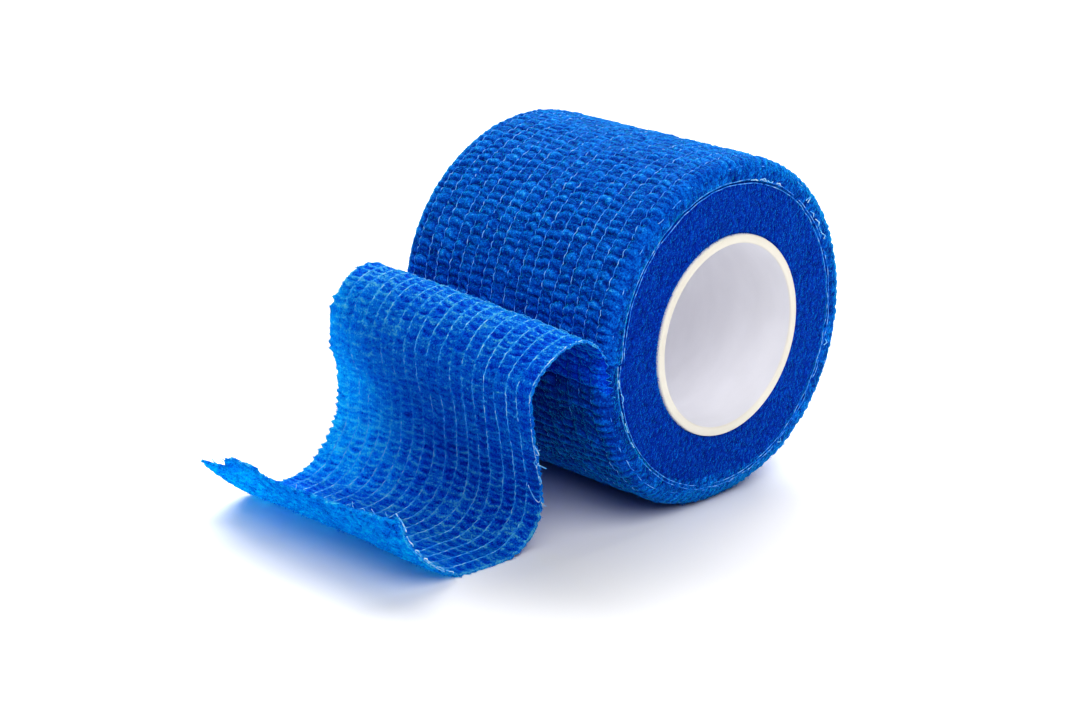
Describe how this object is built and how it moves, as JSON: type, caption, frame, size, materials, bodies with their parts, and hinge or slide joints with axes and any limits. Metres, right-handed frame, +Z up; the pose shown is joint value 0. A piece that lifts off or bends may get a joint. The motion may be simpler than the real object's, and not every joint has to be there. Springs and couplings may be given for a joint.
{
  "type": "cohesive bandage roll",
  "caption": "Roll of blue crinkled cohesive bandage on a stiff hollow core, lying on its side with its loose end arched over, hanging and curled up at the cut end.",
  "frame": {"origin": "on the surface, at the middle of the roll's flat spot, under the middle of its axis", "axes": "+X along the roll's axis towards the side face with the frayed groove thread; -Y the side on which the loose end leaves; +Z up"},
  "size_m": [0.0596, 0.0979, 0.06],
  "materials": {
    "core_card": "smooth ivory core, satin",
    "blue_band": "crinkled fuzzy blue fabric with fine pale threads",
    "blue_band_loose": "crinkled blue fabric, slightly sheer, with fine pale threads"
  },
  "bodies": {
    "root": {"core": "core_card", "wound_roll": "blue_band", "loose_tail": "blue_band_loose"}
  },
  "joints": []
}
